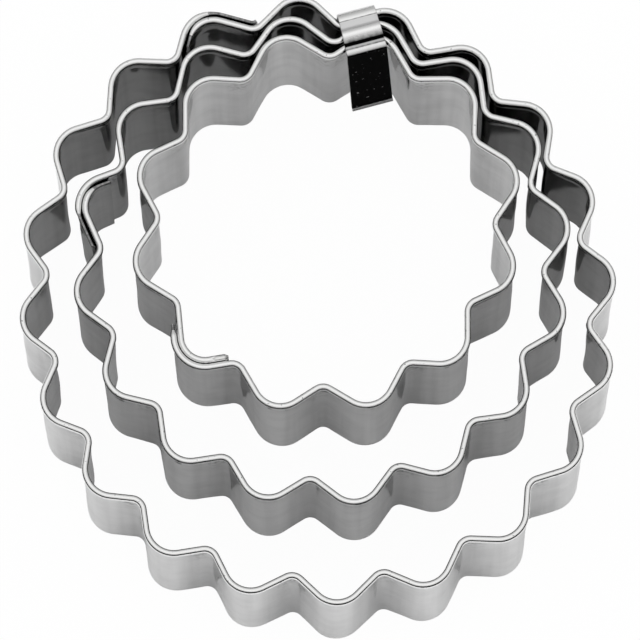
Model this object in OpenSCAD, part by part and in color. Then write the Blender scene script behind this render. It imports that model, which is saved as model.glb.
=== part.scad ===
// Nested set of three fluted pastry cutters, held together by a spring clip.
// Each cutter is one strip of tinplate: a thin wall with a cutting edge at the
// bottom, a hem folded over along the top, and its two ends lapped and welded.
// The large ring is centred on the origin and all three stand on z = 0.

/* [Strip] */
// Height of every cutter, from cutting edge to rim
cutter_h = 24; // [16:0.5:40]
// Thickness of the tinplate wall
wall_t = 0.3; // [0.2:0.02:0.4]
// Width of the hem along the rim
hem_w = 0.64; // [0.5:0.02:0.8]
// Height of the hem along the rim
hem_h = 0.9; // [0.7:0.05:1.6]

/* [Flutes] */
// How far each flute comes in from the rim circle
flute_depth = 2.45; // [1.6:0.05:3]
// Radius of the bends that point outwards, on the middle of the wall
crest_r = 2.75; // [2.2:0.05:3]
// Radius of the bends that point inwards, on the middle of the wall
trough_r = 1.25; // [1.1:0.05:1.6]

/* [Cutters] */
// Diameter of the large cutter over its rim
large_d = 60; // [54:0.5:66]
// How much smaller each cutter is than the next, over the rim
size_step = 10.6; // [9.8:0.1:14]
// Number of flutes of the large cutter
large_flutes = 20; // [18:1:22]
// Number of flutes of the middle cutter
middle_flutes = 16; // [15:1:18]
// Number of flutes of the small cutter
small_flutes = 12; // [10:1:13]
// How far the large ring is pulled out of round
large_pull = 0.75; // [0:0.05:0.8]
// How far the small ring is pulled out of round
small_pull = 0.26; // [0:0.02:0.4]

/* [Nesting] */
// Direction from the middle of the set to where the rims meet, in degrees
nest_dir = 84; // [80:0.5:90]
// Clear gap left between the hems of two cutters where they meet
rim_clear = 0.15; // [0.1:0.01:0.4]

/* [Lapped ends] */
// Clear gap between the two hems where the ends of a strip lap
lap_gap = 0.06; // [0.04:0.01:0.1]
// Diameter of a spot weld
weld_d = 1.4; // [1:0.1:2]
// Spot welds up each lap
weld_count = 3; // [2:1:4]

/* [Spring clip] */
// Width of the clip's strip
clip_w = 3.8; // [3:0.1:4.2]
// Thickness of the clip's strip
clip_t = 0.3; // [0.2:0.01:0.36]
// Clear space between the clip and the rims it straddles
clip_clear = 0.13; // [0.1:0.01:0.3]
// Length of the leg inside the small cutter
front_leg = 15; // [8:0.5:18]
// Length of the leg behind the large cutter
back_leg = 14; // [8:0.5:18]
// How far the front leg leans away from the wall beside it, in degrees
front_flare = 8; // [3:0.5:10]
// How far the back leg leans away from the wall beside it, in degrees
back_flare = 2; // [0:0.5:4]
// How far short of nest_dir the clip stands, in degrees
clip_aside = 0.7; // [0:0.1:1.5]
// Turn of the clip away from standing square to nest_dir, in degrees
clip_turn = 21; // [16:0.5:24]

/* [Hidden] */
$fn = 96;

// How far a flank stands into the bends at its ends, and proud of their faces,
// so that no face of one lies in a face of the other
flank_in = 0.08;
flank_proud = 0.01;

// The layers of a lap run outside and inside the plain crest by half a hem
lap_step = hem_w + lap_gap;

// A ring is [rim diameter, flutes, direction of crest 0, centre, lapped crest, outer
// layer side, pull out of round, direction of that pull, free ends, bends]. Crest 0 is
// the one that nests in the next ring's crest 0, or holds it. The outer layer of the
// lap comes from the next trough where the side is 1, and from the one before where it
// is -1. The free ends are the shares of the far flank that the outer and the inner
// layer run on for, and what is over 1 is a share of the trough's bend after it. The
// bends are the radii of a crest and of a trough, drawn in together where a flute is
// too narrow for both and for the lap.
middle_d = large_d - size_step;
small_d = middle_d - size_step;
function bends_in(d, flutes, pull) =
    let (
        r = (d - hem_w) / 2 - pull,
        aside = 2 * sqrt((r - crest_r) * (r - flute_depth)) * sin(90 / flutes),
        room = (aside ^ 2 + flute_depth ^ 2 - lap_step ^ 2 / 4) / (2 * flute_depth + lap_step)
    )
    min(1, room / (crest_r + trough_r)) * [crest_r, trough_r];
function large_at(c) = [large_d, large_flutes, nest_dir - 8.1, c, 2, 1,
    large_pull, nest_dir + 32, [2, 0.5], bends_in(large_d, large_flutes, large_pull)];
function middle_at(c) = [middle_d, middle_flutes, nest_dir - 8.2, c, 4, -1,
    0, 0, [1, 0.6], bends_in(middle_d, middle_flutes, 0)];
function small_at(c) = [small_d, small_flutes, nest_dir - 10, c, 5, 1,
    small_pull, nest_dir - 47, [0.5, 1], bends_in(small_d, small_flutes, small_pull)];

// Places and directions of the bends of a ring
function crest_dir(ring, i) = ring[2] + i * 360 / ring[1];
function trough_dir(ring, i) = ring[2] + (i + 0.5) * 360 / ring[1];
function rim_r(ring, a) = (ring[0] - hem_w) / 2 + ring[6] * cos(2 * (a - ring[7]));
function polar(r, a) = r * [cos(a), sin(a)];
function crest_bend(ring, layer = 0) = ring[9][0] + layer * lap_step / 2;
function trough_bend(ring) = ring[9][1];
function crest_c(ring, i) =
    let (a = crest_dir(ring, i))
    ring[3] + polar(rim_r(ring, a) - crest_bend(ring), a);
function trough_c(ring, i) =
    let (a = trough_dir(ring, i))
    ring[3] + polar(rim_r(ring, a) - flute_depth + trough_bend(ring), a);

// The flank from crest i to the trough on one side of it, 1 for the next one and
// -1 for the one before, touches both bends. This is its normal's direction.
function flank_dir(c, t, r_sum, side) =
    let (d = t - c)
    atan2(d.y, d.x) - side * acos(r_sum / norm(d));
function trough_beside(ring, i, side) = trough_c(ring, side > 0 ? i : i - 1);

// The layer that a crest has on one side: 0 for a plain one, 1 and -1 at the lap
function crest_layer(ring, i, side) =
    i % ring[1] != ring[4] ? 0 : side == ring[5] ? 1 : -1;
function ring_flank_dir(ring, i, side) = flank_dir(crest_c(ring, i),
    trough_beside(ring, i, side),
    crest_bend(ring, crest_layer(ring, i, side)) + trough_bend(ring), side);

// Angle b brought to within a turn above angle a
function above(a, b) = b < a ? above(a, b + 360) : b > a + 360 ? above(a, b - 360) : b;

// The rim's middle line, point by point in turn from the crest opposite crest 0, for
// whatever has to follow it. Every flank has one point of its own. At the lap the line
// follows the inner layer.
rim_steps = 8;
function arc_points(c, r, a, b) =
    let (sweep = above(a, b) - a)
    [for (k = [0 : rim_steps]) c + polar(r, a + sweep * k / rim_steps)];
function reversed(points) = [for (k = [len(points) - 1 : -1 : 0]) points[k]];
function with_flanks(points) = [
    for (k = [0 : len(points) - 1])
        let (p = points[k], q = points[(k + 1) % len(points)])
        for (share = k % (rim_steps + 1) == rim_steps ? [0, 1 / 2] : [0])
            p + share * (q - p)
];
function rim_points(ring) = with_flanks([
    for (k = [0 : ring[1] - 1])
        let (i = floor(ring[1] / 2) + k)
        for (p = concat(
            arc_points(crest_c(ring, i), crest_bend(ring, i % ring[1] == ring[4] ? -1 : 0),
                ring_flank_dir(ring, i, -1), ring_flank_dir(ring, i, 1)),
            reversed(arc_points(trough_c(ring, i), trough_bend(ring),
                ring_flank_dir(ring, i + 1, -1) + 180, ring_flank_dir(ring, i, 1) + 180))))
            p
]);

// Each inner ring starts with its crests on the next one's, where the rims cross, and
// comes back from nest_dir until their hems are rim_clear apart. A step is the gap still
// wanting or left over, times seat_push, as the rims meet aslant.
facing_angle = 62;
seat_steps = 16;
seat_push = 1.4;
rim_gap = hem_w + rim_clear;
function facing(points) = [
    for (p = points)
        if (abs(above(nest_dir - 180, atan2(p.y, p.x)) - nest_dir) < facing_angle) p
];
function segment_gap(p, a, b) =
    let (d = b - a, t = max(0, min(1, (p - a) * d / (d * d))))
    norm(p - a - t * d);
function line_gap(points, line) = min([
    for (p = points)
        min([for (k = [1 : len(line) - 1]) segment_gap(p, line[k - 1], line[k])])
]);
function moved(points, d) = [for (p = points) p + d];
function seat(outer, inner, t = size_step / 2, step = 0) =
    step == seat_steps ? t
    : let (
        line = moved(inner, polar(t, nest_dir)),
        gap = min(line_gap(outer, line), line_gap(line, outer))
    )
    seat(outer, inner, t + seat_push * (gap - rim_gap), step + 1);
large_ring = large_at([0, 0]);
middle_line = facing(rim_points(middle_at([0, 0])));
small_line = facing(rim_points(small_at([0, 0])));
middle_c = polar(seat(facing(rim_points(large_ring)), middle_line), nest_dir);
middle_ring = middle_at(middle_c);
small_c = middle_c + polar(seat(middle_line, small_line), nest_dir);
small_ring = small_at(small_c);

// Section of the strip, with the middle of the wall at x = r. The hem on top has a
// round nose, straight sides and a short slope under them.
hem_under = 0.14;
module section(r = 0, proud = 0) {
    wall = wall_t / 2 + proud;
    hem = hem_w / 2 + proud;
    nose_z = cutter_h - hem_w / 2;
    under_z = cutter_h - hem_h - proud;
    polygon([
        [r - wall, 0], [r + wall, 0], [r + wall, under_z],
        [r + hem, under_z + hem_under],
        for (a = [0 : 30 : 180]) [r + hem * cos(a), nose_z + hem * sin(a)],
        [r - hem, under_z + hem_under], [r - wall, under_z]
    ]);
}

// A bend round centre c from direction a to direction b
module bend(c, r, a, b) {
    translate([c.x, c.y, 0]) rotate(a)
        rotate_extrude(angle = above(a, b) - a) section(r);
}

// The same in bare wall, without the hem
module bare_bend(c, r, a, b) {
    translate([c.x, c.y, 0]) rotate(a)
        rotate_extrude(angle = above(a, b) - a)
            translate([r - wall_t / 2, 0]) square([wall_t, cutter_h]);
}

// A straight stretch of strip from point p to point q
module flank(p, q) {
    d = q - p;
    translate([p.x, p.y, 0]) rotate(atan2(d.y, d.x)) translate([-flank_in, 0, 0])
        rotate([90, 0, 90]) linear_extrude(norm(d) + 2 * flank_in) section(0, flank_proud);
}

// The flank on one side of crest i, at its own layer, up to the trough beside it
module crest_flank(ring, i, side) {
    a = ring_flank_dir(ring, i, side);
    r = crest_bend(ring, crest_layer(ring, i, side));
    flank(crest_c(ring, i) + polar(r, a),
        trough_beside(ring, i, side) - polar(trough_bend(ring), a));
}

// One layer of the lap: the bend over the crest, and a free end that runs on down
// some of the far flank beside the other layer. A longer end has no hem where it goes
// on round the trough, as the bend is too tight for one.
module lap_layer(ring, layer) {
    i = ring[4];
    side = layer * ring[5];
    r = crest_bend(ring, layer);
    near = ring_flank_dir(ring, i, side);
    far = ring_flank_dir(ring, i, -side);
    c = crest_c(ring, i);
    bend(c, r, side > 0 ? far : near, side > 0 ? near : far);
    share = ring[8][layer > 0 ? 0 : 1];
    touch = c + polar(r, far);
    trough = trough_beside(ring, i, -side);
    end_r = trough_bend(ring) - layer * lap_step;
    end = trough - polar(end_r, far);
    flank(touch, touch + min(share, 1) * (end - touch));
    if (share > 1) {
        after = ring_flank_dir(ring, i - side, side);
        turn = (share - 1) * (side > 0 ? above(far, after) - far : far - above(far - 360, after));
        bare_bend(trough, end_r, far + 180 - (side > 0 ? 0 : turn),
            far + 180 + (side > 0 ? turn : 0));
    }
}

// Spot welds in a row up the lap, each from the middle of one layer to the other's
module welds(ring) {
    c = crest_c(ring, ring[4]);
    translate([c.x, c.y, 0]) rotate(crest_dir(ring, ring[4]))
        for (i = [1 : weld_count])
            translate([crest_bend(ring, -1), 0, i * (cutter_h - hem_h) / (weld_count + 1)])
                rotate([0, 90, 0]) cylinder(d = weld_d, h = lap_step);
}

// A whole cutter
module cutter(ring) {
    n = ring[1];
    for (i = [0 : n - 1]) {
        if (i != ring[4])
            bend(crest_c(ring, i), crest_bend(ring),
                ring_flank_dir(ring, i, -1), ring_flank_dir(ring, i, 1));
        crest_flank(ring, i, -1);
        crest_flank(ring, i, 1);
        bend(trough_c(ring, i), trough_bend(ring),
            ring_flank_dir(ring, i + 1, -1) + 180, ring_flank_dir(ring, i, 1) + 180);
    }
    lap_layer(ring, 1);
    lap_layer(ring, -1);
    welds(ring);
}

// The clip is drawn in its own frame: x along its width, y away from the middle.
// Each leg stands just clear of the hem it has to pass, over the strip's width. The rim
// is followed there at ten places between its points.
clip_dir = nest_dir - clip_aside;
clip_o = polar(rim_r(large_ring, clip_dir), clip_dir);
across_dir = nest_dir - 90 + clip_turn;
function in_clip(p) =
    let (d = p - clip_o)
    [d * polar(1, across_dir), d * polar(1, across_dir + 90)];
clip_reach = (large_d - small_d) / 2;
hem_clear = hem_w / 2 + clip_clear;
function leg_y(ring, way) =
    let (line = rim_points(ring))
    way * (clip_t / 2 + max([
        for (k = [1 : len(line) - 1], share = [0 : 0.1 : 0.9])
            let (
                q = in_clip(line[k] + share * (line[k - 1] - line[k])),
                beside = max(abs(q.x) - clip_w / 2, 0)
            )
            if (beside < hem_clear && abs(q.y) < clip_reach)
                way * q.y + sqrt(hem_clear ^ 2 - beside ^ 2)
    ]));
back_y = leg_y(large_ring, 1);
front_y = leg_y(small_ring, -1);

// Height of the middle of the clip's strip over the rims, with its pressed ridge
// behind and groove in front of it. s runs forwards from the back leg.
ridge_h = 0.3;
ridge_w = 1.5;
groove_h = 0.2;
groove_w = 1.3;
back_bend = 0.75;
front_bend = 0.45;
span = back_y - front_y;
function bump(s, at, w) = abs(s - at) >= w / 2 ? 0 : (1 + cos(360 * (s - at) / w)) / 2;
top_z = cutter_h + clip_clear + clip_t / 2 + groove_h;
function strip_z(s) = top_z + ridge_h * bump(s, span * 0.52, ridge_w)
    - groove_h * bump(s, span * 0.76, groove_w);

// The clip's middle line as [y, z] points, from the end of the back leg to the
// end of the front one, and the outline that its thickness makes round it
top_steps = 30;
bend_steps = 8;
lip_r = 1.2;
lip_turn = 40;
function lean(r, a) = [r * cos(a), r * sin(a)];
back_c = [back_y - back_bend, top_z - back_bend];
front_c = [front_y + front_bend, top_z - front_bend];
back_end = back_c + lean(back_bend, -back_flare) + lean(back_leg, -90 + back_flare);
front_end = front_c + lean(front_bend, 180 + front_flare) + lean(front_leg, -90 - front_flare);
lip_c = front_end + lean(lip_r, 180 - front_flare);
clip_line = concat(
    [back_end],
    [for (k = [0 : bend_steps])
        back_c + lean(back_bend, -back_flare + (90 + back_flare) * k / bend_steps)],
    [for (k = [1 : top_steps])
        let (s = back_bend + (span - back_bend - front_bend) * k / top_steps)
        [back_y - s, strip_z(s)]],
    [for (k = [1 : bend_steps])
        front_c + lean(front_bend, 90 + (90 + front_flare) * k / bend_steps)],
    [for (k = [0 : bend_steps]) lip_c + lean(lip_r, -front_flare - lip_turn * k / bend_steps)]
);
function side_of(line, i, d) =
    let (
        a = line[max(i - 1, 0)],
        b = line[min(i + 1, len(line) - 1)],
        n = [a.y - b.y, b.x - a.x] / norm(b - a)
    )
    line[i] + d * n;
clip_last = len(clip_line) - 1;
clip_outline = concat(
    [for (i = [0 : clip_last]) side_of(clip_line, i, clip_t / 2)],
    [for (i = [clip_last : -1 : 0]) side_of(clip_line, i, -clip_t / 2)]
);

module large_cutter() color("silver") cutter(large_ring);
module middle_cutter() color("lightsteelblue") cutter(middle_ring);
module small_cutter() color("lightgray") cutter(small_ring);
module storage_clip() color("dimgray")
    translate([clip_o.x, clip_o.y, 0]) rotate(across_dir) translate([-clip_w / 2, 0, 0])
        rotate([90, 0, 90]) linear_extrude(clip_w) polygon(clip_outline);

large_cutter();
middle_cutter();
small_cutter();
storage_clip();
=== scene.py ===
# %% [markdown]
# # A nest of fluted biscuit cutters
# Three rings of bright tinplate stand one inside the other, and a small spring clip
# straddles their rims at the back and keeps the set together. The rings are open at
# both ends: the thick rolled rim is what the fingers press on, and the thin edge on
# the worktop is what cuts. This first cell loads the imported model, which fixes where
# each cutter stands and how big it is.

# %% Load the fixed frame
import math
from dataclasses import dataclass

import bmesh
import bpy
import numpy as np
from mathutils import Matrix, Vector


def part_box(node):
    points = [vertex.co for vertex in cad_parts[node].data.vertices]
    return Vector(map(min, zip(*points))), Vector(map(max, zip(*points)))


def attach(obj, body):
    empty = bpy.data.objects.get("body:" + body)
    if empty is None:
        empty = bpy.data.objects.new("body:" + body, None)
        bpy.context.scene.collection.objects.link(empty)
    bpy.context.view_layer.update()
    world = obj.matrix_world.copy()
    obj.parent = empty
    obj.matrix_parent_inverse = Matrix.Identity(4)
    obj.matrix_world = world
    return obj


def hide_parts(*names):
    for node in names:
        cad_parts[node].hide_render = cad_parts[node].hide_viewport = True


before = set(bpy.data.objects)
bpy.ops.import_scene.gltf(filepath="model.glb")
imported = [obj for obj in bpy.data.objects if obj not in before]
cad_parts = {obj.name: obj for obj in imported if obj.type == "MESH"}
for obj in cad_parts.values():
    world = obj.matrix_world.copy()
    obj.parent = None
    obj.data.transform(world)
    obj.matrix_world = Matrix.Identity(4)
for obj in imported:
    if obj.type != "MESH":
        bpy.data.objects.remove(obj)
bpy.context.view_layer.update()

MM = 0.001

# %% [markdown]
# ## The strip
# Every cutter is one strip of sheet metal. On the real object a press folds the top
# edge over into a hem, fluted rollers bend the strip into waves, and the two ends are
# lapped and spot welded. Blender could start from a circle and push its points in and
# out, but then the bends would be uneven. Here the strip's middle line is drawn the
# way the tool leaves it: round bends of a fixed radius, joined by straight flanks.

# %% Sizes of the strip
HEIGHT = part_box("large_cutter")[1].z
WALL = 0.3 * MM
HEM_WIDTH = 0.64 * MM
HEM_HEIGHT = 0.9 * MM
FLUTE_DEPTH = 2.45 * MM
CREST_RADIUS = 2.75 * MM
TROUGH_RADIUS = 1.25 * MM
GAP_BETWEEN_HEMS = 0.06 * MM
LAP_STEP = HEM_WIDTH + GAP_BETWEEN_HEMS


def polar(radius, degrees):
    """A point of a plane, by its distance and direction from the origin."""
    turn = math.radians(degrees)
    return radius * np.array([math.cos(turn), math.sin(turn)])


print(f"strip {HEIGHT / MM:.1f} mm high, hem {HEM_WIDTH / MM} mm wide")

# %% [markdown]
# ## One ring
# A ring is given by its diameter, its number of flutes, how far it is turned, and the
# crest where its ends lap. The outer end comes to the lap from one side and the inner
# end from the other, so a ring also says which way round its strip runs. A ring made
# by hand is never quite round, and two of these are pulled a little out of true. All
# this could be typed in as points, but then nothing could be changed later.


# %% Describe a ring and the places of its bends
@dataclass
class Ring:
    node: str
    diameter: float
    flutes: int
    turn: float  # direction of crest 0, in degrees
    seam: int  # the crest where the two ends lap
    way: int  # 1 where the strip runs anticlockwise from its outer end, -1 clockwise
    pull: float  # how far the ring is pulled out of true
    pull_at: float  # and in which direction, in degrees
    free_ends: tuple  # length of each end in flanks; above 1 it goes on round the bend
    hem_stops: tuple  # bare length and taper in mm, at the outer end and the inner one
    opened: float  # length at the inner end where the hem gapes

    def rim_radius(self, direction):
        swing = math.cos(math.radians(2 * (direction - self.pull_at)))
        return (self.diameter - HEM_WIDTH) / 2 + self.pull * swing

    def crest(self, i):
        direction = self.turn + i * 360 / self.flutes
        return polar(self.rim_radius(direction) - CREST_RADIUS, direction)

    def trough(self, i):
        direction = self.turn + (i + 0.5) * 360 / self.flutes
        return polar(self.rim_radius(direction) - FLUTE_DEPTH + TROUGH_RADIUS, direction)

    def trough_beside(self, i, side):
        return self.trough(i if side > 0 else i - 1)

    def layer(self, i, side):
        if i % self.flutes != self.seam:
            return 0
        return 1 if side == self.way else -1

    def flank_facing(self, i, side):
        """Which way, in degrees, the flank on one side of crest i faces."""
        apart = self.trough_beside(i, side) - self.crest(i)
        radii = layer_radius(self.layer(i, side)) + TROUGH_RADIUS
        lean = math.degrees(math.acos(radii / np.linalg.norm(apart)))
        return math.degrees(math.atan2(apart[1], apart[0])) - side * lean


def layer_radius(layer):
    """Radius of a crest: 0 for a plain one, 1 and -1 for the two layers of a lap."""
    return CREST_RADIUS + layer * LAP_STEP / 2


RINGS = [
    Ring("large_cutter", diameter=60 * MM, flutes=20, turn=3.9, seam=6, way=1,
         pull=0.75 * MM, pull_at=116, free_ends=(2.0, 0.5),
         hem_stops=((4.0, 2.4), (0.5, 2.0)), opened=0),
    Ring("middle_cutter", diameter=49.4 * MM, flutes=16, turn=8.3, seam=7, way=-1,
         pull=0, pull_at=0, free_ends=(1.0, 0.6),
         hem_stops=((3.0, 1.2), (1.2, 1.6)), opened=0),
    Ring("small_cutter", diameter=38.8 * MM, flutes=12, turn=-16, seam=8, way=1,
         pull=0.26 * MM, pull_at=37, free_ends=(0.5, 1.0),
         hem_stops=((0.3, 1.0), (0, 0.35)), opened=1.7 * MM),
]
print("rings:", [(ring.node, ring.flutes) for ring in RINGS])

# %% [markdown]
# ## The middle line as a row of stations
# Walking along the strip from its outer end, the line turns over a crest, runs down a
# flank, turns through a trough and climbs again, all the way round, and ends under
# the first layer. Each station on the way keeps its place and which way the outside
# of the strip faces there. How far along the strip it is follows from the places, and
# lets dents, weld marks and hem ends be placed as a tinsmith would measure them.

# %% Walk along the strip
CREST_STEPS = 18
TROUGH_STEPS = 12
FLANK_STEPS = 4


def bend(centre, radius, start, end, sense, outside):
    """Points and outward directions round a bend. Sense is 1 anticlockwise."""
    sweep = (end - start) * sense % 360 * sense
    steps = CREST_STEPS if outside > 0 else TROUGH_STEPS
    turns = [polar(1, start + sweep * k / steps) for k in range(steps + 1)]
    return [(centre + radius * turn, outside * turn) for turn in turns]


def straight(start, end, facing, steps=FLANK_STEPS):
    """Points between two places on a flank, without the places themselves."""
    return [(start + (end - start) * k / steps, facing) for k in range(1, steps)]


def free_end(ring, layer):
    """The last stretch of a layer, from its tip to the crest that it leaves."""
    side = -layer * ring.way
    leaving = ring.flank_facing(ring.seam, side)
    facing = polar(1, leaving)
    start = ring.crest(ring.seam) + layer_radius(layer) * facing
    trough, radius = ring.trough_beside(ring.seam, side), TROUGH_RADIUS - layer * LAP_STEP
    share = ring.free_ends[0 if layer > 0 else 1]
    tip = start + min(share, 1) * (trough - radius * facing - start)
    end = [(tip, facing)] + straight(tip, start, facing, 3 * FLANK_STEPS)
    if share > 1:
        after = ring.flank_facing(ring.seam + side, -side)
        turn = -side * ((after - leaving) * -side % 360) * (share - 1)
        end = bend(trough, radius, leaving + 180 + turn, leaving + 180, side, -1)[:-1] + end
    return end


def walk(ring):
    """All stations of a ring's strip as arrays of places and outward directions."""
    line = list(free_end(ring, 1))
    for k in range(ring.flutes + 1):
        i = ring.seam + ring.way * k
        layer = 1 if k == 0 else -1 if k == ring.flutes else 0
        first, last = (ring.flank_facing(i, side) for side in (-ring.way, ring.way))
        crest = bend(ring.crest(i), layer_radius(layer), first, last, ring.way, 1)
        if k > 0:
            line += straight(line[-1][0], crest[0][0], crest[0][1])
        line += crest
        if k < ring.flutes:
            after = ring.flank_facing(i + ring.way, -ring.way)
            trough = bend(ring.trough_beside(i, ring.way), TROUGH_RADIUS,
                          last + 180, after + 180, -ring.way, -1)
            line += straight(crest[-1][0], trough[0][0], trough[0][1]) + trough
    line += free_end(ring, -1)[::-1]
    places = np.array([place for place, _ in line])
    facings = np.array([facing for _, facing in line])
    return places, facings


def distances(places):
    """How far along the strip each station is, in metres."""
    return np.concatenate([[0], np.cumsum(np.linalg.norm(np.diff(places, axis=0), axis=1))])


for ring in RINGS:
    print(f"{ring.node}: strip {distances(walk(ring)[0])[-1] / MM:.0f} mm long")

# %% [markdown]
# ## The section of the strip
# Cut across, the strip is a thin wall with a bevelled cutting edge at the bottom and
# a bead at the top, where the sheet is folded back on itself. Near each end of the
# strip the hem thins out and the bare wall goes on alone. One number, 1 for a full hem
# and 0 for none, shapes the whole section, and a second one opens the fold's top where
# it gapes. The rows of the wall lie closer together near the hem, where the dents are.

# %% Draw half a section, from the cutting edge to the top of the hem
EDGE_BEVEL = 0.06 * MM
HEM_SLOPE = 0.14 * MM
BARE_DROP = 0.35 * MM
OPENED_DIP = 0.22 * MM
OPENED_TAPER = 1.8
NOSE_STEPS = 8
WALL_ROWS = 30
CROWDING = 1.6


def half_section(hem, opened):
    """Rows of (distance from the middle of the wall, height)."""
    top = HEIGHT - BARE_DROP * (1 - hem)
    half = WALL / 2 + (HEM_WIDTH - WALL) / 2 * hem
    under = top - HEM_HEIGHT
    rows = [(WALL / 2 - EDGE_BEVEL, 0), (WALL / 2, EDGE_BEVEL)]
    for k in range(1, WALL_ROWS + 1):
        climbed = 1 - (1 - k / WALL_ROWS) ** CROWDING
        rows.append((WALL / 2, EDGE_BEVEL + (under - EDGE_BEVEL) * climbed))
    rows.append((half, under + HEM_SLOPE))
    for k in range(NOSE_STEPS + 1):
        out, up = polar(half, 90 * k / NOSE_STEPS)
        dip = opened * OPENED_DIP * max(0, 1 - OPENED_TAPER * out / half)
        rows.append((out, top - half + up - dip))
    return np.array(rows)


print("half a section has", len(half_section(1.0, 0.0)), "rows")

# %% [markdown]
# ## What the tools leave behind
# A perfect surface of bright metal looks like plastic. The rollers leave each wall a
# little uneven, the hemming tool presses a shallow step below the hem and small dents
# into the troughs, the two layers of the lap come together where they are welded, and
# every spot weld pulls the sheet in. Sculpting would do it by hand. Here each is a
# shallow bend of the whole sheet, a sum of soft bumps added in the direction that the
# wall faces, so the two faces of the sheet move together and the walls stay closed.

# %% Work out how far the sheet is bent at each station and row
SEED = 7
WAVER = 0.045 * MM
WAVES = 14
WAVE_SHORT, WAVE_LONG = 5, 22  # in mm
WAVE_SLOPE = 0.5
STEP_BELOW_HEM = 1.5 * MM
STEP_DEPTH = 0.07 * MM
STEP_FADE = 0.3 * MM
DENT_DEPTH = 0.14 * MM
DENTS = 3
DENT_ASIDE = 1.1  # in mm, as are the next four
DENT_HIGH, DENT_LOW = 1.5, 2.6
DENT_SMALL, DENT_LARGE = 0.5, 0.9
DENT_SQUAT = 1.4
WELD_DEPTH = 0.06 * MM
WELD_SIZE = 2.4 * MM
WELDS = 3
CLOSING_HEIGHT = 5 * MM
LAP_ROOM = 0.02 * MM


def soft_bump(distance, size):
    """1 at the middle, fading to 0 at half the size away."""
    return np.cos(np.pi * np.clip(distance / size, -0.5, 0.5)) ** 2


def smooth_step(value):
    share = np.clip(value, 0, 1)
    return share * share * (3 - 2 * share)


def waver(along, heights, rng):
    """A slight unevenness of the whole wall, longer upwards than along."""
    total = np.zeros((len(along), heights.shape[1]))
    for _ in range(WAVES):
        length, phase = rng.uniform(WAVE_SHORT, WAVE_LONG) * MM, rng.uniform(0, 2 * np.pi)
        slope = rng.uniform(-WAVE_SLOPE, WAVE_SLOPE)
        total += np.sin(2 * np.pi * (along[:, None] + slope * heights) / length + phase)
    return WAVER * total / math.sqrt(WAVES)


def trough_dents(along, heights, spots, rng):
    """Small dents just below the hem, where the tool held each trough."""
    total = np.zeros_like(heights)
    for spot in spots:
        for _ in range(DENTS):
            place = spot + rng.uniform(-DENT_ASIDE, DENT_ASIDE) * MM
            height = HEIGHT - rng.uniform(DENT_HIGH, DENT_LOW) * MM
            size = rng.uniform(DENT_SMALL, DENT_LARGE) * MM
            away = np.hypot(along[:, None] - place, (heights - height) * DENT_SQUAT)
            total += rng.uniform(-1, 1) * soft_bump(away, 2 * size)
    return DENT_DEPTH * total


def lap_closing(ring, along, heights):
    """The two layers of the lap come together below the hems, where they are welded.

    The tip of the outer layer stays open, and the tip of the inner one closes fully.
    """
    flank = np.linalg.norm(ring.trough(0) - ring.crest(0))
    total = np.zeros(len(along))
    for layer, tip_share in ((1, 0), (-1, 1)):
        walked = along if layer > 0 else along[-1] - along[::-1]
        first = len(free_end(ring, layer))
        last = first + CREST_STEPS
        stops = (walked[first] - flank, walked[first], walked[last], walked[last] + flank)
        shares = np.interp(walked, stops, (tip_share, 0.5, 0.5, 0))
        total -= layer * (shares if layer > 0 else shares[::-1])
    closed = smooth_step((HEIGHT - HEM_HEIGHT - heights) / CLOSING_HEIGHT)
    return (LAP_STEP - WALL - LAP_ROOM) * total[:, None] * closed


def weld_marks(ring, along, heights):
    """Shallow round marks up the middle of the lap, the same on both layers."""
    total = np.zeros_like(heights)
    for layer, walked in ((1, along), (-1, along[-1] - along)):
        middle = len(free_end(ring, layer)) + CREST_STEPS // 2
        beside = walked - (walked[middle] if layer > 0 else walked[-1 - middle])
        for k in range(1, WELDS + 1):
            height = k * (HEIGHT - HEM_HEIGHT) / (WELDS + 1)
            total += soft_bump(np.hypot(beside[:, None], heights - height), WELD_SIZE)
    return -WELD_DEPTH * total


def step_under_hem(heights):
    """The sheet comes out slightly above the line where the hemming tool pressed."""
    above_line = heights - HEIGHT + HEM_HEIGHT + STEP_BELOW_HEM
    return STEP_DEPTH * smooth_step(above_line / STEP_FADE)


print("dents up to", DENT_DEPTH / MM, "mm deep")

# %% [markdown]
# ## Sweep the section along the line
# Each station gets a copy of the section, and faces join neighbouring copies. A curve
# with a bevel would do the same for an even strip, but this one changes its section
# on the way. It is one closed mesh, with squared ends. Three numbers are kept on every
# point for the materials: how far along the strip it is, how much of a hem there is,
# and how deep in a trough it lies.


# %% Build a mesh from stations and sections
def hem_share(ring, along):
    """1 where the hem is whole, fading to 0 before each end of the strip."""
    to_end = (along, along[-1] - along)
    shares = [smooth_step((distance - stop * MM) / (taper * MM))
              for distance, (stop, taper) in zip(to_end, ring.hem_stops)]
    return np.minimum(*shares)


def loft(name, loops):
    """A closed mesh through loops of points that are symmetric about their middle."""
    count, size = loops.shape[:2]
    faces = []
    for k in range(count - 1):
        for j in range(size):
            following = (j + 1) % size
            faces.append((k * size + j, k * size + following,
                          (k + 1) * size + following, (k + 1) * size + j))
    for start in (0, (count - 1) * size):
        for j in range(size // 2):
            corners = [start + j, start + j + 1, start + size - 2 - j, start + size - 1 - j]
            faces.append(tuple(dict.fromkeys(corners)))
    mesh = bpy.data.meshes.new(name)
    mesh.from_pydata(loops.reshape(-1, 3).tolist(), [], faces)
    mesh.update()
    return mesh


def keep_on_points(mesh, name, values):
    mesh.attributes.new(name, "FLOAT", "POINT").data.foreach_set(
        "value", np.asarray(values, np.float32).ravel())


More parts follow.
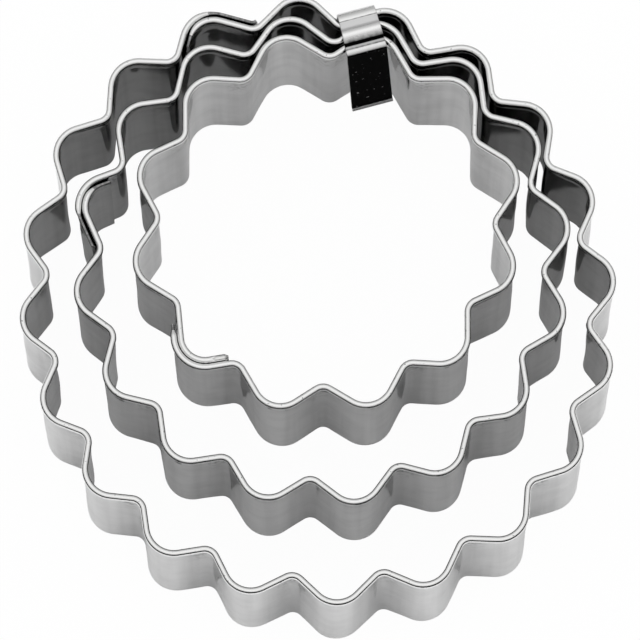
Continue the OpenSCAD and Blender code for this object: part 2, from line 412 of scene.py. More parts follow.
def finish_mesh(mesh, sharp_degrees):
    """Turns every face outwards and shades smoothly between sharp edges."""
    work = bmesh.new()
    work.from_mesh(mesh)
    bmesh.ops.recalc_face_normals(work, faces=work.faces)
    work.to_mesh(mesh)
    work.free()
    mesh.shade_smooth()
    mesh.set_sharp_from_angle(angle=math.radians(sharp_degrees))


print("mesh helpers are ready")

# %% [markdown]
# The three rings come from the same steps with their own numbers, and each has its own
# row of random draws, so a change to one leaves the others as they are. Every shift
# fades out before it reaches the hem, which keeps its bead true. The finished mesh is
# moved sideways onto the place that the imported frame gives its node.

# %% Make the three cutters
IN_TROUGH = 0.9
OPENED_FADE = 0.4 * MM
SHIFT_FADE = 0.4 * MM
HEM_FADE = 0.2 * MM
SHARP_CUTTER = 40


def cutter_mesh(ring, rng):
    places, facings = walk(ring)
    along = distances(places)
    hems = hem_share(ring, along)
    opened = smooth_step((ring.opened - (along[-1] - along)) / OPENED_FADE)
    halves = np.array([half_section(*pair) for pair in zip(hems, opened)])
    heights = halves[:, :, 1]
    radii = np.linalg.norm(places, axis=1)
    directions = np.degrees(np.arctan2(places[:, 1], places[:, 0]))
    depth = (np.array([ring.rim_radius(d) for d in directions]) - radii) / FLUTE_DEPTH
    before, here, after = depth[:-2], depth[1:-1], depth[2:]
    spots = along[1:-1][(here > before) & (here >= after) & (here > IN_TROUGH)]
    bent = waver(along, heights, rng) + trough_dents(along, heights, spots, rng)
    bent = bent + lap_closing(ring, along, heights) + weld_marks(ring, along, heights)
    below_hem = HEIGHT - HEM_HEIGHT - heights
    bent = bent * smooth_step(below_hem / SHIFT_FADE)
    bent = bent - step_under_hem(heights) * smooth_step(below_hem / HEM_FADE)
    loops = []
    for place, facing, half, shift in zip(places, facings, halves, bent):
        outer = place + (half[:, :1] + shift[:, None]) * facing
        inner_side = place - (half[:, :1] - shift[:, None]) * facing
        outer = np.column_stack([outer, half[:, 1]])
        inner_side = np.column_stack([inner_side, half[:, 1]])
        loops.append(np.concatenate([outer, inner_side[-2::-1]]))
    loops = np.array(loops)
    mesh = loft(ring.node + "_sheet", loops)
    keep_on_points(mesh, "along", np.repeat(along, loops.shape[1]))
    keep_on_points(mesh, "hem", np.repeat(hems, loops.shape[1]))
    keep_on_points(mesh, "trough", np.repeat(np.clip(depth, 0, 1), loops.shape[1]))
    return mesh


def seat_on(mesh, node):
    """Moves the mesh sideways so that its box stands where the node's box is."""
    points = np.array([v.co for v in mesh.vertices])
    low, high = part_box(node)
    middle = (points.min(0) + points.max(0)) / 2
    shift = ((low.x + high.x) / 2 - middle[0], (low.y + high.y) / 2 - middle[1])
    points[:, :2] += shift
    mesh.vertices.foreach_set("co", points.astype(np.float32).ravel())
    mesh.update()
    return np.array(shift)


def add_piece(mesh, name, node):
    piece = bpy.data.objects.new(name, mesh)
    bpy.context.scene.collection.objects.link(piece)
    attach(piece, node)
    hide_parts(node)
    return piece


cutters, centres = [], {}
for number, ring in enumerate(RINGS):
    sheet = cutter_mesh(ring, np.random.default_rng(SEED + number))
    centres[ring.node] = seat_on(sheet, ring.node)
    finish_mesh(sheet, SHARP_CUTTER)
    cutters.append(add_piece(sheet, ring.node + "_strip", ring.node))
    centre = np.round(centres[ring.node] / MM, 2)
    print(ring.node, len(sheet.vertices), "points, centre at", centre)

# %% [markdown]
# ## The spring clip
# The clip is a short piece of spring strip, bent over the three rims where they meet.
# Its front leg hangs inside the small cutter and its back leg goes down behind the
# large one. Where the legs can stand depends on the rims, so it is measured and not
# typed in: each leg is moved up to the rim's line until it clears the hem.

# %% Find where the clip's legs pass the hems
CLIP_WIDTH = 3.8 * MM
WIDENING = 0.07
CLIP_SHEET = 0.3 * MM
CLIP_CLEAR = 0.13 * MM
CLIP_AT = 83.3
CLIP_TURN = 15.0
NEAR_CLIP = 12 * MM
clip_across, clip_back = polar(1, CLIP_TURN), polar(1, CLIP_TURN + 90)
clip_origin = polar(RINGS[0].rim_radius(CLIP_AT), CLIP_AT)


def leg_place(ring, way, width):
    """How far back the leg on one side of the rims stands, in the clip's own frame."""
    away = walk(ring)[0] + centres[ring.node] - clip_origin
    beside = np.maximum(np.abs(away @ clip_across) - width / 2, 0)
    behind = away @ clip_back
    reach = HEM_WIDTH / 2 + CLIP_CLEAR
    near = (beside < reach) & (np.abs(behind) < NEAR_CLIP)
    past = way * behind[near] + np.sqrt(reach**2 - beside[near] ** 2)
    return way * (CLIP_SHEET / 2 + past.max())


back_leg_at = leg_place(RINGS[0], 1, CLIP_WIDTH)
front_leg_at = leg_place(RINGS[2], -1, CLIP_WIDTH * (1 + WIDENING))
print(f"legs at {back_leg_at / MM:.2f} and {front_leg_at / MM:.2f} mm")

# %% [markdown]
# Seen from the side, the clip is one line: up the back leg, round a bend, over the top,
# round a tighter bend and down the front leg to a small lip. The top has a pressed
# ridge and a groove that stiffen it. A press tool makes each with a soft shoulder, so
# they are soft bumps of the line and not separate arcs.

# %% Draw the clip's line, from the tip of the back leg to the tip of the front one
BACK_LEG, FRONT_LEG = 14 * MM, 15 * MM
BACK_LEAN, FRONT_LEAN = 2.0, 8.0
BACK_BEND, FRONT_BEND = 0.75 * MM, 0.45 * MM
RIDGE = (0.52, 1.5 * MM, 0.3 * MM)  # place as a share of the top, width and rise
GROOVE = (0.76, 1.3 * MM, -0.2 * MM)
LIP_RADIUS, LIP_TURN = 1.2 * MM, 40.0
BACK_STEPS, BACK_BEND_STEPS, TOP_STEPS = 12, 10, 100
FRONT_BEND_STEPS, FRONT_STEPS, LIP_STEPS = 30, 16, 8
span = back_leg_at - front_leg_at
top_at = HEIGHT + CLIP_CLEAR + CLIP_SHEET / 2 - GROOVE[2]


def clip_top(s):
    """Height of the clip's line at a distance forwards from the back leg."""
    height = top_at
    for share, width, rise in (RIDGE, GROOVE):
        height += rise * float(soft_bump(s - share * span, width))
    return height


def clip_line():
    """Points of (distance back, height)."""
    back = np.array([back_leg_at - BACK_BEND, top_at - BACK_BEND])
    front = np.array([front_leg_at + FRONT_BEND, top_at - FRONT_BEND])
    back_turn = back + polar(BACK_BEND, -BACK_LEAN)
    front_turn = front + polar(FRONT_BEND, 180 + FRONT_LEAN)
    front_end = front_turn + polar(FRONT_LEG, -90 - FRONT_LEAN)
    lip = front_end + polar(LIP_RADIUS, 180 - FRONT_LEAN)
    down_back, down_front = -90 + BACK_LEAN, -90 - FRONT_LEAN
    line = [back_turn + polar(BACK_LEG * (1 - k / BACK_STEPS), down_back)
            for k in range(BACK_STEPS)]
    line += [back + polar(BACK_BEND, -BACK_LEAN + (90 + BACK_LEAN) * k / BACK_BEND_STEPS)
             for k in range(BACK_BEND_STEPS + 1)]
    inside = span - BACK_BEND - FRONT_BEND
    for k in range(1, TOP_STEPS + 1):
        forwards = BACK_BEND + inside * k / TOP_STEPS
        line.append(np.array([back_leg_at - forwards, clip_top(forwards)]))
    line += [front + polar(FRONT_BEND, 90 + (90 + FRONT_LEAN) * k / FRONT_BEND_STEPS)
             for k in range(1, FRONT_BEND_STEPS + 1)]
    line += [front_turn + polar(FRONT_LEG * k / FRONT_STEPS, down_front)
             for k in range(1, FRONT_STEPS + 1)]
    line += [lip + polar(LIP_RADIUS, -FRONT_LEAN - LIP_TURN * k / LIP_STEPS)
             for k in range(1, LIP_STEPS + 1)]
    return np.array(line)


clip_path = clip_line()
print("clip line:", len(clip_path), "points")

# %% [markdown]
# A flat section with rounded edges follows the line, and the strip gets a little wider
# towards the front. The clip's colour changes in bands across it: grey bands and thin lines
# of painted shade on top and round the bends, black painted shade in the groove, and a
# black coat down the front leg. Painting a texture would need unwrapping, so the two
# shares are kept on the points instead, read off a table by the distance from the back edge.

# %% Sweep a flat section along it
EDGE_ROUND = 0.08 * MM
ACROSS_STEPS = 8
SHARP_CLIP = 45
# Distance from the back edge in mm, how dull and shaded, how black
# The grey at both ends, the grey bands and lines across the top, the black in the groove and
# the stripes at the front bend are painted shade; the black from 4.36 mm on is the leg's coat
FINISH = (
    (0, 1, 0), (0.3, 1, 0), (0.4, 0, 0),
    (0.94, 0, 0), (0.97, 1, 0.6), (1.03, 1, 0.6), (1.06, 1, 0),
    (2.0, 1, 0), (2.03, 1, 0.5), (2.08, 0, 0),
    (2.6, 0, 0), (2.92, 0, 0.5), (3.15, 0, 1), (3.6, 0, 1),
    (3.66, 0.6, 0.1), (3.84, 0.6, 0.1), (3.88, 1, 0.6), (3.96, 1, 0.6),
    (4.0, 0.4, 0), (4.3, 0.4, 0), (4.36, 0, 1), (6.66, 0, 1), (6.7, 1, 0),
)


def flat_section():
    """Half of a flat section with rounded edges, from one edge round to the other."""
    flat = CLIP_WIDTH / 2 - EDGE_ROUND
    side = CLIP_SHEET / 2 - EDGE_ROUND
    right = [polar(EDGE_ROUND, a) + (flat, side) for a in (0, 30, 60, 90)]
    across = [np.array([flat - 2 * flat * k / ACROSS_STEPS, CLIP_SHEET / 2])
              for k in range(1, ACROSS_STEPS)]
    left = [polar(EDGE_ROUND, a) + (-flat, side) for a in (90, 120, 150, 180)]
    return np.array(right + across + left)


def clip_mesh():
    ahead = np.gradient(clip_path, axis=0)
    ahead /= np.linalg.norm(ahead, axis=1)[:, None]
    outwards = np.column_stack([ahead[:, 1], -ahead[:, 0]])
    half = flat_section()
    loop = np.concatenate([half, half[::-1] * (1, -1)])
    from_back = (back_leg_at + CLIP_SHEET / 2 - clip_path[:, 0]) / MM
    wider = 1 + WIDENING * np.clip(from_back / (span / MM), 0, None)
    loops = []
    for (back, up), (out_back, out_up), grown in zip(clip_path, outwards, wider):
        loops.append([
            [*(clip_origin + x * grown * clip_across + (back + t * out_back) * clip_back),
             up + t * out_up]
            for x, t in loop
        ])
    loops = np.array(loops)
    mesh = loft("clip_sheet", loops)
    places, dull_and_shade, black_and_shade = zip(*FINISH)
    for name, values in (("dull_and_shade", dull_and_shade), ("black_and_shade", black_and_shade)):
        shares = np.interp(from_back, places, values)
        keep_on_points(mesh, name, np.repeat(shares, loops.shape[1]))
    return mesh


spring = clip_mesh()
finish_mesh(spring, SHARP_CLIP)
clip = add_piece(spring, "storage_clip_strip", "storage_clip")
print("clip:", len(spring.vertices), "points")

# %% [markdown]
# ## Finishes
# Tinplate is steel with a mirror-bright skin of tin. What tells it from chrome is how
# soft and patchy its shine is: faint upright streaks from the rollers, cloudy marks
# from handling, and a polish that is best on the rim. The shared effects are node
# groups, each built once and placed in a material with its own values.


# %% Helpers for node groups
def new_group(name, inputs, outputs):
    """An empty node group. Inputs are (name, type, value), outputs are (name, type)."""
    group = bpy.data.node_groups.new(name, "ShaderNodeTree")
    for label, kind, value in inputs:
        socket = group.interface.new_socket(label, in_out="INPUT", socket_type=kind)
        socket.default_value = value
    for label, kind in outputs:
        group.interface.new_socket(label, in_out="OUTPUT", socket_type=kind)
    return group, group.nodes.new("NodeGroupInput"), group.nodes.new("NodeGroupOutput")


def add_node(tree, kind, **settings):
    node = tree.nodes.new(kind)
    for name, value in settings.items():
        setattr(node, name, value)
    return node


def math_node(tree, operation, first, second=None, clamp=False):
    """A Math node whose inputs are sockets or numbers. Returns its output socket."""
    node = add_node(tree, "ShaderNodeMath", operation=operation, use_clamp=clamp)
    for socket, value in zip(node.inputs, (first, second)):
        if value is None:
            continue
        if isinstance(value, (int, float)):
            socket.default_value = value
        else:
            tree.links.new(value, socket)
    return node.outputs[0]


FLOAT = "NodeSocketFloat"
print("node helpers are ready")

# %% [markdown]
# The fluted rollers leave faint upright streaks. The strip's own length is used as a
# coordinate, so the streaks stay upright on every flank, however it faces. Noise that
# is squeezed along the strip and drawn out upwards makes them. A wave texture would be
# quicker, but its lines are too even.


# %% Node group for upright streaks
STREAK_DETAIL = 3.0


def streak_group():
    group, given, made = new_group(
        "upright streaks",
        [("Streaks per mm", FLOAT, 3.0), ("Upright stretch", FLOAT, 0.04)],
        [("Streaks", FLOAT)],
    )
    along = add_node(group, "ShaderNodeAttribute", attribute_name="along")
    place = add_node(group, "ShaderNodeTexCoord")
    split = add_node(group, "ShaderNodeSeparateXYZ")
    group.links.new(place.outputs["Object"], split.inputs[0])
    per_metre = math_node(group, "MULTIPLY", given.outputs["Streaks per mm"], 1 / MM)
    x = math_node(group, "MULTIPLY", along.outputs["Fac"], per_metre)
    z = math_node(group, "MULTIPLY", split.outputs["Z"], per_metre)
    z = math_node(group, "MULTIPLY", z, given.outputs["Upright stretch"])
    joined = add_node(group, "ShaderNodeCombineXYZ")
    group.links.new(x, joined.inputs["X"])
    group.links.new(z, joined.inputs["Z"])
    noise = add_node(group, "ShaderNodeTexNoise")
    noise.inputs["Scale"].default_value = 1.0
    noise.inputs["Detail"].default_value = STREAK_DETAIL
    group.links.new(joined.outputs[0], noise.inputs["Vector"])
    group.links.new(noise.outputs["Fac"], made.inputs["Streaks"])
    return group


streaks = streak_group()
print("made", streaks.name)

# %% [markdown]
# Handling leaves cloudy patches that dull the shine a little. They don't follow the
# strip, so they are plain noise in the object's own space. A second, finer noise is
# cut off high up, which leaves only a few small specks.


# %% Node group for handling marks
PATCH_DETAIL, SPECK_DETAIL = 2.0, 1.0
SPECK_EDGE = 20.0


def handling_group():
    group, given, made = new_group(
        "handling marks",
        [("Patches per cm", FLOAT, 1.5), ("Specks per cm", FLOAT, 12.0),
         ("Speck share", FLOAT, 0.28)],
        [("Patches", FLOAT), ("Specks", FLOAT)],
    )
    place = add_node(group, "ShaderNodeTexCoord")
    sockets = []
    for label, detail in (("Patches per cm", PATCH_DETAIL), ("Specks per cm", SPECK_DETAIL)):
        noise = add_node(group, "ShaderNodeTexNoise")
        noise.inputs["Detail"].default_value = detail
        group.links.new(place.outputs["Object"], noise.inputs["Vector"])
        scale = math_node(group, "MULTIPLY", given.outputs[label], 0.1 / MM)
        group.links.new(scale, noise.inputs["Scale"])
        sockets.append(noise.outputs["Fac"])
    group.links.new(sockets[0], made.inputs["Patches"])
    level = math_node(group, "SUBTRACT", 1.0, given.outputs["Speck share"])
    high = math_node(group, "SUBTRACT", sockets[1], level)
    speck = math_node(group, "MULTIPLY", high, SPECK_EDGE, clamp=True)
    group.links.new(speck, made.inputs["Specks"])
    return group


marks = handling_group()
print("made", marks.name)

# %% [markdown]
# Each material places a group with its own values. A few small helpers keep the
# materials short: one moves a value from one range to another, one mixes two colours,
# and one reads a number off the mesh's points.


# %% Place a group in a material
def use_group(tree, group, **values):
    node = add_node(tree, "ShaderNodeGroup", node_tree=group)
    for label, value in values.items():
        node.inputs[label.replace("_", " ")].default_value = value
    return node


def ranged(tree, socket, low, high, to_low, to_high):
    """Moves a value from one range to another, kept within it."""
    node = add_node(tree, "ShaderNodeMapRange", clamp=True)
    limits = {"From Min": low, "From Max": high, "To Min": to_low, "To Max": to_high}
    for label, value in limits.items():
        node.inputs[label].default_value = value
    tree.links.new(socket, node.inputs["Value"])
    return node.outputs["Result"]


def mixed_colour(tree, factor, first, second):
    node = add_node(tree, "ShaderNodeMix", data_type="RGBA", clamp_factor=True)
    tree.links.new(factor, node.inputs["Factor"])
    for label, colour in (("A", first), ("B", second)):
        socket = next(s for s in node.inputs if s.name == label and s.type == "RGBA")
        if isinstance(colour, tuple):
            socket.default_value = (*colour, 1)
        else:
            tree.links.new(colour, socket)
    return next(s for s in node.outputs if s.type == "RGBA")


def kept_value(tree, name):
    """A number kept on the mesh's points."""
    return add_node(tree, "ShaderNodeAttribute", attribute_name=name).outputs["Fac"]


def new_material(name):
    material = bpy.data.materials.new(name)
    material.use_nodes = True
    tree = material.node_tree
    shader = tree.nodes["Principled BSDF"]
    return material, tree, shader


print("material helpers are ready")

# %% [markdown]
# ## Tinplate
# The metal is nearly colourless. Streaks and patches make it duller and a little rougher,
# and each trough is rougher too and painted darker, as painted shade. A fine bump follows
# the streaks, and dark specks of painted shade sit in the folds just below the hem. A
# texture image could hold all this, but these marks follow the strip's own numbers and
# stay sharp close up.

# %% Bright tinplate
NOISE_LOW, NOISE_HIGH = 0.35, 0.65
# The duller wall colour serves the streaks and patches, and the painted shade in the troughs
WALL_COLOUR, WALL_DULL_AND_SHADE = (0.86, 0.86, 0.86), (0.42, 0.42, 0.423)
WALL_EDGE = (0.85, 0.85, 0.85, 1)  # where the wall is seen at a low angle
WALL_ROUGH = (0.04, 0.12)
MARKS_FROM, MARKS_TO = 0.4, 0.7
# The last share is how far the deepest part of a trough is painted darker: painted shade
STREAK_SHARE, CLOUD_SHARE, TROUGH_SHADE_SHARE = 0.4, 0.25, 0.75
# Colour of dark specks of painted shade in the troughs, between the two heights below the hem
FOLD_SHADE = (0.15, 0.15, 0.15)
FOLD_SHADE_LOW, FOLD_SHADE_HIGH = HEIGHT - 6.5 * MM, HEIGHT - 2 * HEM_HEIGHT
FOLD_FROM, FOLD_TO = 0.55, 0.8
BUMP_STRENGTH, BUMP_DEPTH = 0.15, 0.02 * MM


def tinplate():
    material, tree, shader = new_material("bright tinplate")
    shader.inputs["Metallic"].default_value = 1.0
    shader.inputs["Specular Tint"].default_value = WALL_EDGE
    upright = use_group(tree, streaks, Streaks_per_mm=0.7, Upright_stretch=0.02)
    fine = use_group(tree, streaks, Streaks_per_mm=5.0, Upright_stretch=0.01)
    handled = use_group(tree, marks, Patches_per_cm=3.0, Specks_per_cm=20.0, Speck_share=0.48)
    dull_and_shade = ranged(tree, upright.outputs["Streaks"], MARKS_FROM, MARKS_TO, 0.0, STREAK_SHARE)
    cloudy = ranged(tree, handled.outputs["Patches"], MARKS_FROM, MARKS_TO, 0.0, CLOUD_SHARE)
    deep = kept_value(tree, "trough")
    # Painted shade: the deeper in a trough, the darker and duller the wall
    trough_shade = math_node(tree, "MULTIPLY", deep, TROUGH_SHADE_SHARE)
    dull_and_shade = math_node(tree, "ADD", math_node(tree, "ADD", dull_and_shade, cloudy), trough_shade, clamp=True)
    wall = mixed_colour(tree, dull_and_shade, WALL_COLOUR, WALL_DULL_AND_SHADE)
    place = add_node(tree, "ShaderNodeTexCoord")
    split = add_node(tree, "ShaderNodeSeparateXYZ")
    tree.links.new(place.outputs["Object"], split.inputs[0])
    # Painted shade: dark specks in the deep troughs just below the hem
    by_hem = ranged(tree, split.outputs["Z"], FOLD_SHADE_LOW, FOLD_SHADE_HIGH, 0.0, 1.0)
    in_fold = ranged(tree, deep, FOLD_FROM, FOLD_TO, 0.0, 1.0)
    fold_shade_mask = math_node(tree, "MULTIPLY", by_hem, in_fold)
    fold_shade_specks = math_node(tree, "MULTIPLY", fold_shade_mask, handled.outputs["Specks"])
    tree.links.new(mixed_colour(tree, fold_shade_specks, wall, FOLD_SHADE), shader.inputs["Base Color"])
    tree.links.new(ranged(tree, dull_and_shade, 0.0, 1.0, *WALL_ROUGH), shader.inputs["Roughness"])
    bump = add_node(tree, "ShaderNodeBump")
    bump.inputs["Strength"].default_value = BUMP_STRENGTH
    bump.inputs["Distance"].default_value = BUMP_DEPTH
    tree.links.new(fine.outputs["Streaks"], bump.inputs["Height"])
    tree.links.new(bump.outputs["Normal"], shader.inputs["Normal"])
    return material


print("tinplate from", WALL_COLOUR[0], "to", WALL_DULL_AND_SHADE[0])

# %% [markdown]
# The rim is the part that hands press on, so it is the most evenly polished. The bottom
# edge and the ends of the strip were cut and never polished: they are greyer, rougher
# and torn in fine lines. Faces are told apart by their height, by how much of a hem
# they have and by the way they look, so no face has to be picked by hand.

# %% Rim, sheared edges, and which face gets which
RIM_COLOUR = (0.88, 0.88, 0.875)
RIM_ROUGH = (0.1, 0.2)
SHEARED_LIGHT, SHEARED_DARK = (0.42, 0.42, 0.42), (0.2, 0.2, 0.2)
SHEARED_ROUGH = (0.3, 0.55)
RIM_SLOT, SHEARED_SLOT = 1, 2
LEVEL, BARE = 0.5, 0.3  # a face this level, with less of a hem than this, is bare


def rim_metal():
    material, tree, shader = new_material("polished rim")
    shader.inputs["Metallic"].default_value = 1.0
    handled = use_group(tree, marks, Patches_per_cm=6.0, Specks_per_cm=30.0, Speck_share=0.3)
    rough = ranged(tree, handled.outputs["Patches"], NOISE_LOW, NOISE_HIGH, *RIM_ROUGH)
    tree.links.new(rough, shader.inputs["Roughness"])
    worn = mixed_colour(tree, handled.outputs["Specks"], RIM_COLOUR, WALL_DULL_AND_SHADE)
    tree.links.new(worn, shader.inputs["Base Color"])
    return material


def sheared_metal():
    material, tree, shader = new_material("sheared edge")
    shader.inputs["Metallic"].default_value = 1.0
    torn = use_group(tree, streaks, Streaks_per_mm=6.0, Upright_stretch=0.2)
    rough = ranged(tree, torn.outputs["Streaks"], NOISE_LOW, NOISE_HIGH, *SHEARED_ROUGH)
    tree.links.new(rough, shader.inputs["Roughness"])
    share = ranged(tree, torn.outputs["Streaks"], NOISE_LOW, NOISE_HIGH, 0.0, 1.0)
    grey = mixed_colour(tree, share, SHEARED_LIGHT, SHEARED_DARK)
    tree.links.new(grey, shader.inputs["Base Color"])
    return material


def dress_cutter(piece, materials):
    """Wall, hem and sheared edges, told apart by height, hem and the way a face looks."""
    mesh = piece.data
    for material in materials:
        mesh.materials.append(material)
    hems = np.empty(len(mesh.vertices), np.float32)
    mesh.attributes["hem"].data.foreach_get("value", hems)
    for face in mesh.polygons:
        hem = hems[list(face.vertices)].mean()
        bare_top = abs(face.normal.z) > LEVEL and hem < BARE
        if face.center.z < EDGE_BEVEL or bare_top or len(face.vertices) == 3:
            face.material_index = SHEARED_SLOT
        elif face.center.z > HEIGHT - HEM_HEIGHT + HEM_SLOPE:
            face.material_index = RIM_SLOT


cutter_metals = (tinplate(), rim_metal(), sheared_metal())
for piece in cutters:
    dress_cutter(piece, cutter_metals)
print("tinplate on", len(cutters), "cutters")

# %% [markdown]
# ## The clip's two finishes
# The clip is bright on top, with grey bands and lines of painted shade. In the photo the
# front leg is a deep black that starts in the groove: the leg is given a black coat with a
# few specks of dust, and the black in the groove is painted shade. Two materials with a
# sharp border would look like tape, so the two shares kept on its points blend the
# finishes in one material, and a noise frays the black's edge. The cut edges are bare
# metal.

# %% Spring strip, bright and black
# Black of the leg's coat, also used as painted shade in the groove and at the creases
BLACK_COAT_AND_SHADE = (0.001, 0.001, 0.001)
COAT_SHEEN = 0.001
# Grey of the bands and lines of painted shade on the clip's top
BAND_SHADE_GREY = (0.66, 0.66, 0.66)
DUST = (0.25, 0.25, 0.25)
SPRING_ROUGH = (0.12, 0.4)
FRAYED = 0.15
FACING_EDGE = 0.8


def spring_metal():
    material, tree, shader = new_material("spring strip")
    shader.inputs["Specular IOR Level"].default_value = COAT_SHEEN
    handled = use_group(tree, marks, Patches_per_cm=22.0, Specks_per_cm=24.0, Speck_share=0.27)
    frayed = ranged(tree, handled.outputs["Patches"], NOISE_LOW, NOISE_HIGH, -FRAYED, FRAYED)
    # The black share is the leg's coat and, in the groove and at the creases, painted shade
    black_and_shade = kept_value(tree, "black_and_shade")
    at_border = math_node(tree, "MULTIPLY", black_and_shade, math_node(tree, "SUBTRACT", 1.0, black_and_shade))
    at_border = math_node(tree, "MULTIPLY", at_border, 4.0)
    frayed = math_node(tree, "MULTIPLY", frayed, at_border)
    black_and_shade = math_node(tree, "ADD", black_and_shade, frayed, clamp=True)
    dull_and_shade = kept_value(tree, "dull_and_shade")
    # The grey bands mixed into the bright metal are painted shade
    metal = mixed_colour(tree, dull_and_shade, RIM_COLOUR, BAND_SHADE_GREY)
    coat_and_shade = mixed_colour(tree, handled.outputs["Specks"], BLACK_COAT_AND_SHADE, DUST)
    tree.links.new(mixed_colour(tree, black_and_shade, metal, coat_and_shade), shader.inputs["Base Color"])
    tree.links.new(math_node(tree, "SUBTRACT", 1.0, black_and_shade), shader.inputs["Metallic"])
    tree.links.new(ranged(tree, dull_and_shade, 0.0, 1.0, *SPRING_ROUGH), shader.inputs["Roughness"])
    return material


clip.data.materials.append(spring_metal())
clip.data.materials.append(cutter_metals[SHEARED_SLOT])
for face in clip.data.polygons:
    facing_across = abs(face.normal.x * clip_across[0] + face.normal.y * clip_across[1])
    face.material_index = int(facing_across > FACING_EDGE or len(face.vertices) == 3)
print("clip dressed")

# %% [markdown]
# ## The white sheet
# The set stands on a plain white sheet, as on a photo table. The sheet takes the
# cutters' shadows. For the camera it is lifted most of the way to white, and for the
# first reflection only a little, because the walls in the photo mirror a shaded floor.
# More light would make the sheet white as well, but it would bleach the metal.

# %% Floor
FLOOR_SIZE = 1.5
SHEET_WHITE = (0.9, 0.9, 0.9, 1)
SHEET_ROUGH = 0.9
CAMERA_LIFT, MIRROR_LIFT = 0.97, 0.1


def white_sheet():
    material, tree, shader = new_material("white sheet")
    shader.inputs["Base Color"].default_value = SHEET_WHITE
    shader.inputs["Roughness"].default_value = SHEET_ROUGH
    shader.inputs["Specular IOR Level"].default_value = 0.0
    white = add_node(tree, "ShaderNodeEmission")
    path = add_node(tree, "ShaderNodeLightPath")
    mirrored = math_node(tree, "ADD", path.outputs["Is Glossy Ray"],
                         path.outputs["Is Transmission Ray"], clamp=True)
    first = math_node(tree, "LESS_THAN", path.outputs["Glossy Depth"], 1.5)
    mirrored = math_node(tree, "MULTIPLY", mirrored, first)
    by_mirror = math_node(tree, "MULTIPLY", mirrored, MIRROR_LIFT)
    by_camera = math_node(tree, "MULTIPLY", path.outputs["Is Camera Ray"], CAMERA_LIFT)
    lift = math_node(tree, "MAXIMUM", by_mirror, by_camera)
    mixed = add_node(tree, "ShaderNodeMixShader")
    tree.links.new(lift, mixed.inputs["Fac"])
    tree.links.new(shader.outputs["BSDF"], mixed.inputs[1])
    tree.links.new(white.outputs[0], mixed.inputs[2])
    tree.links.new(mixed.outputs[0], tree.nodes["Material Output"].inputs["Surface"])
    return material


reach = FLOOR_SIZE / 2
floor_mesh = bpy.data.meshes.new("floor")
floor_mesh.from_pydata([(x * reach, y * reach, 0) for x, y in ((-1, -1), (1, -1), (1, 1), (-1, 1))],
                       [], [(0, 1, 2, 3)])
floor = bpy.data.objects.new("floor", floor_mesh)
bpy.context.scene.collection.objects.link(floor)
floor.data.materials.append(white_sheet())
print("white sheet", FLOOR_SIZE, "m wide")

# %% [markdown]
# ## The sky
# The light is a wide soft sky with no lamps. Three kinds of ray see three skies. Where
# the camera looks at it, it is plain white. In a mirror it fades towards the horizon,
# which gives each bead its round look. For light that has met the matt sheet it is
# brighter overhead and at both sides, so the floor between the walls is shaded
# unevenly, and the walls mirror that.

# %% Soft studio sky
SKY_ABOVE, SKY_BESIDE = 2.0, 0.6
MIRRORED_LOW = 0.45


def soft_sky():
    """A world that is white to the camera and graded for everything else."""
    world = bpy.data.worlds.new("soft studio")
    world.use_nodes = True
    tree = world.node_tree
    place = add_node(tree, "ShaderNodeTexCoord")
    split = add_node(tree, "ShaderNodeSeparateXYZ")
    tree.links.new(place.outputs["Generated"], split.inputs[0])
    x2, y2, z2 = (math_node(tree, "POWER", math_node(tree, "ABSOLUTE", split.outputs[axis]), 2.0)
                  for axis in "XYZ")
    above = math_node(tree, "MULTIPLY", z2, SKY_ABOVE)
    beside = math_node(tree, "MULTIPLY", math_node(tree, "SUBTRACT", x2, y2), SKY_BESIDE)
    lit = math_node(tree, "MAXIMUM", math_node(tree, "ADD", above, beside), 0.0)
    faded = math_node(tree, "MULTIPLY", math_node(tree, "SUBTRACT", z2, 1.0), 1 - MIRRORED_LOW)
    path = add_node(tree, "ShaderNodeLightPath")
    faded = math_node(tree, "MULTIPLY", faded, path.outputs["Is Glossy Ray"])
    mirrored = math_node(tree, "ADD", faded, 1.0)
    by_floor = math_node(tree, "MINIMUM", path.outputs["Diffuse Depth"], 1.0)
    change = math_node(tree, "MULTIPLY", math_node(tree, "SUBTRACT", lit, mirrored), by_floor)
    tree.links.new(math_node(tree, "ADD", mirrored, change),
                   tree.nodes["Background"].inputs["Strength"])
    tree.nodes["Background"].inputs["Color"].default_value = (1, 1, 1, 1)
    return world


bpy.context.scene.world = soft_sky()
print("sky is in place")

# %% [markdown]
# ## A dark card
# Bright metal on white would have no edges at all. A photographer stands dark cards
# round such a set, just outside the picture, so that the sides of each bead mirror
# something dark. One ring of card does it here. It hangs clear of the floor and is
# higher in front, and only reflections see it: it casts no shadow and takes no light
# from the floor.

# %% Dark card round the set
CARD_RADIUS = 60 * MM
CARD_MIDDLE = np.array([0, 10 * MM])
CARD_BOTTOM, CARD_LOW, CARD_HIGH = 12 * MM, 20 * MM, 38 * MM
CARD_SIDES = 96
CARD_BLACK = (0.02, 0.02, 0.02, 1)


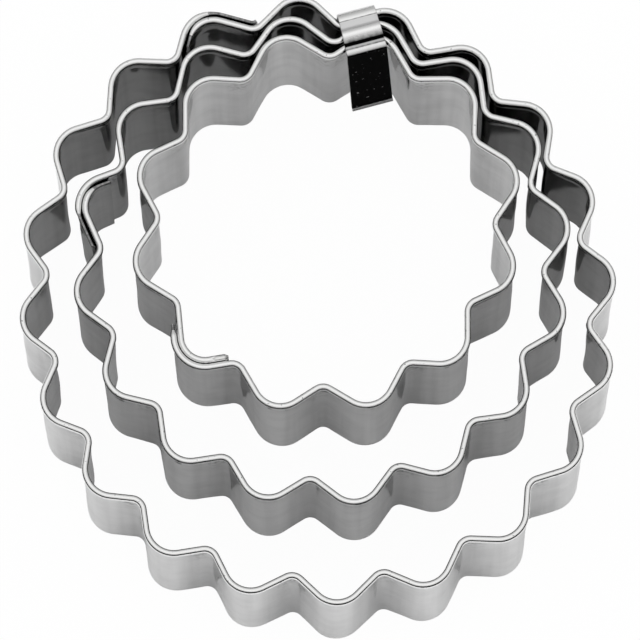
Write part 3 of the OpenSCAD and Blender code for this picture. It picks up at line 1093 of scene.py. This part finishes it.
def dark_card():
    material, tree, shader = new_material("dark card")
    shader.inputs["Base Color"].default_value = CARD_BLACK
    shader.inputs["Roughness"].default_value = 1.0
    shader.inputs["Specular IOR Level"].default_value = 0.0
    return material


def card_top(point):
    """Height of the card's upper edge: high in front, low at the back."""
    return CARD_LOW + (CARD_HIGH - CARD_LOW) * (1 - point[1] / CARD_RADIUS) / 2


ring_points = [polar(CARD_RADIUS, 360 * k / CARD_SIDES) for k in range(CARD_SIDES)]
card_points = [(*(CARD_MIDDLE + point), CARD_BOTTOM) for point in ring_points]
card_points += [(*(CARD_MIDDLE + point), card_top(point)) for point in ring_points]
card_faces = [(k, (k + 1) % CARD_SIDES, CARD_SIDES + (k + 1) % CARD_SIDES, CARD_SIDES + k)
              for k in range(CARD_SIDES)]
card_mesh = bpy.data.meshes.new("card")
card_mesh.from_pydata(card_points, [], card_faces)
card = bpy.data.objects.new("card", card_mesh)
bpy.context.scene.collection.objects.link(card)
card.data.materials.append(dark_card())
card.visible_camera = card.visible_diffuse = card.visible_shadow = False
print("card ring", CARD_RADIUS / MM, "mm in radius")

# %% [markdown]
# ## Camera
# The photo was taken from almost straight above, a little from the front, and from far
# away: the walls hardly spread apart. A long lens at a good distance does the same. An
# orthographic camera would be close, but the rings would lose their last perspective.

# %% Camera at the photograph's angle
CAMERA_RISE = 80.2
CAMERA_AWAY = 1150 * MM
AIM = (0.2 * MM, -2.1 * MM, 24 * MM)
LENS = 657.2
SEES_FROM, SEES_TO = 0.1, 10


def place_camera():
    camera = bpy.data.objects.new("camera", bpy.data.cameras.new("camera"))
    bpy.context.scene.collection.objects.link(camera)
    back, up = polar(CAMERA_AWAY, CAMERA_RISE)
    camera.location = (AIM[0], AIM[1] - back, AIM[2] + up)
    camera.rotation_euler = (math.radians(90 - CAMERA_RISE), 0, 0)
    camera.data.lens = LENS
    camera.data.clip_start, camera.data.clip_end = SEES_FROM, SEES_TO
    bpy.context.scene.camera = camera


place_camera()
bpy.context.scene.view_settings.view_transform = "Standard"
print("camera", CAMERA_RISE, "degrees up")
